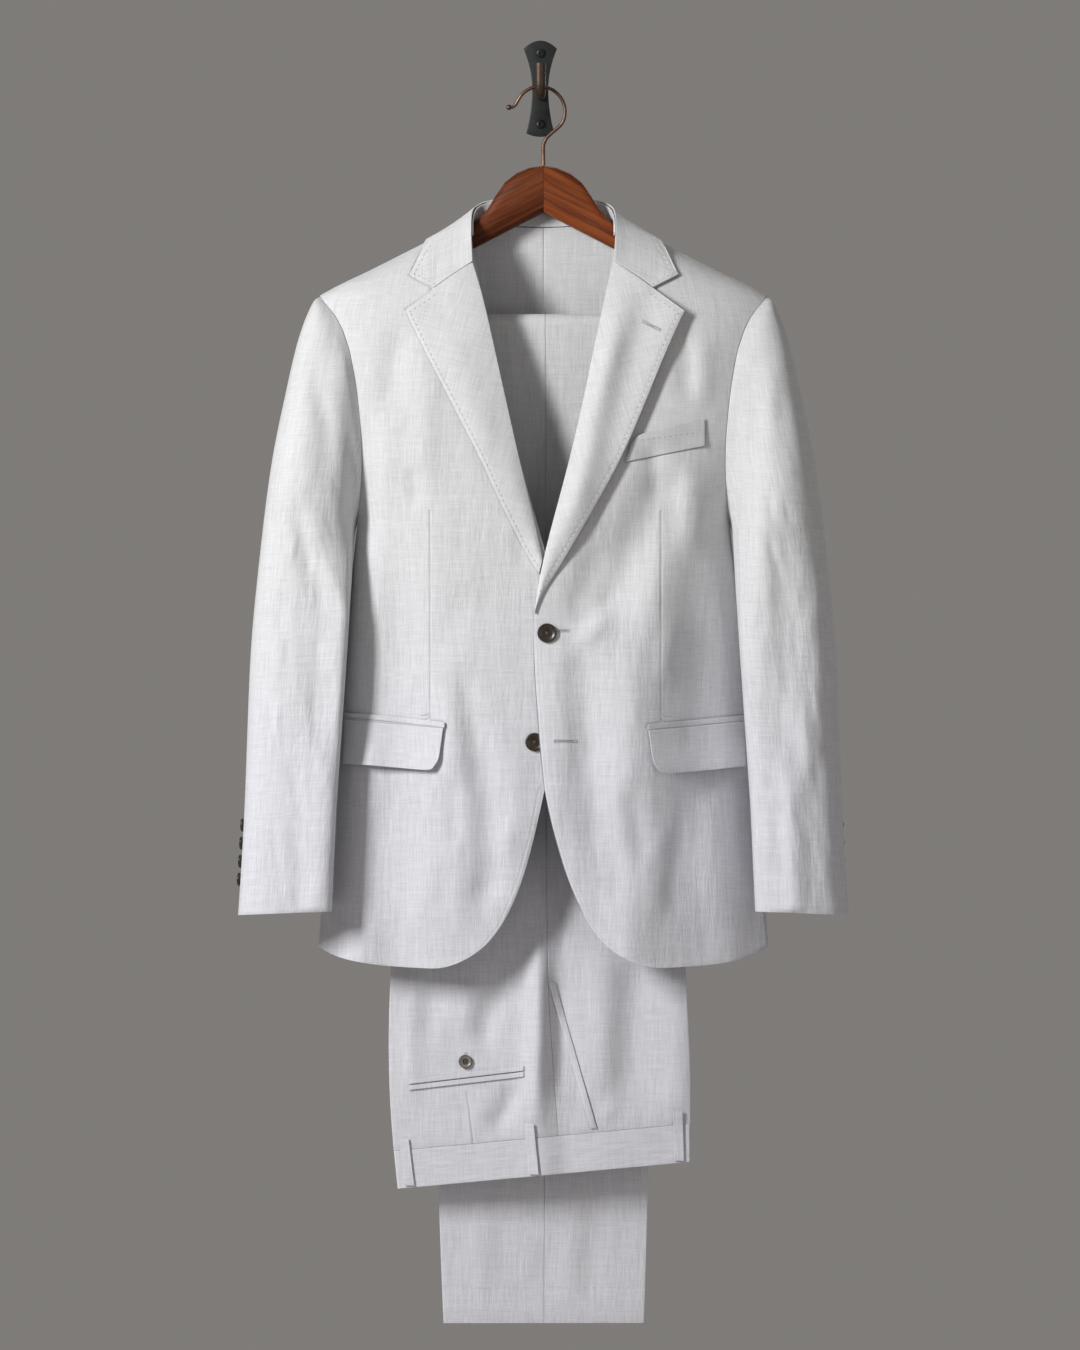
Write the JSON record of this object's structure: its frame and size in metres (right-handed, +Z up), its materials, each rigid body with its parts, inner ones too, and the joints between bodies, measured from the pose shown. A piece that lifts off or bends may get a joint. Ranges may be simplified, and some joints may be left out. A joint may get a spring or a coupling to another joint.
{
  "type": "linen suit on a wooden hanger",
  "caption": "Tailored linen jacket, buttoned on a contoured wooden hanger, with the matching trousers folded over its bar, hung on an iron wall hook.",
  "frame": {"origin": "middle of the wall plate's back face, on the wall", "axes": "+Z up, +Y into the wall, +X towards the wearer's left; the suit hangs in front of the wall on the -Y side"},
  "size_m": [0.6318, 0.1545, 1.3238],
  "materials": {
    "suit_linen": "matt light grey linen in plain weave, with slubs",
    "dark_horn": "satin near-black horn",
    "grey_horn": "satin grey-brown horn",
    "walnut": "satin reddish brown stain, grain in a chevron at the middle joint",
    "copper_wire": "dull aged copper plate",
    "black_iron": "blackened, slightly uneven",
    "bronze": "dark aged bronze, satin"
  },
  "bodies": {
    "root": {"jacket_front_left": "suit_linen", "jacket_front_right": "suit_linen", "jacket_side_left": "suit_linen", "jacket_side_right": "suit_linen", "jacket_back_left": "suit_linen", "jacket_back_right": "suit_linen", "jacket_lapel_left": "suit_linen", "jacket_lapel_right": "suit_linen", "jacket_flap_left": "suit_linen", "jacket_jet_left": "suit_linen", "jacket_flap_right": "suit_linen", "jacket_jet_right": "suit_linen", "jacket_breast_welt": "suit_linen", "jacket_collar": "suit_linen", "jacket_collar_stand": "suit_linen", "jacket_top_sleeve_left": "suit_linen", "jacket_under_sleeve_left": "suit_linen", "jacket_top_sleeve_right": "suit_linen", "jacket_under_sleeve_right": "suit_linen", "trouser_back_left": "suit_linen", "trouser_front_left": "suit_linen", "trouser_waistband_left": "suit_linen", "trouser_back_right": "suit_linen", "trouser_front_right": "suit_linen", "trouser_waistband_right": "suit_linen", "trouser_belt_loop_front": "suit_linen", "trouser_belt_loop_side": "suit_linen", "trouser_belt_loop_back": "suit_linen", "trouser_hip_jet_upper": "suit_linen", "trouser_hip_jet_lower": "suit_linen", "trouser_slant_pocket_edge": "suit_linen", "jacket_button_upper": "dark_horn", "jacket_button_lower": "dark_horn", "cuff_button_left_1": "dark_horn", "cuff_button_left_2": "dark_horn", "cuff_button_left_3": "dark_horn", "cuff_button_left_4": "dark_horn", "cuff_button_right_1": "dark_horn", "cuff_button_right_2": "dark_horn", "cuff_button_right_3": "dark_horn", "cuff_button_right_4": "dark_horn", "trouser_hip_button": "grey_horn", "hanger_arm_left": "walnut", "hanger_arm_right": "walnut", "hanger_bar": "walnut", "hanger_hook": "copper_wire", "wall_plate": "black_iron", "wall_screw_top": "black_iron", "wall_screw_bottom": "black_iron", "wall_peg": "bronze"}
  },
  "joints": []
}
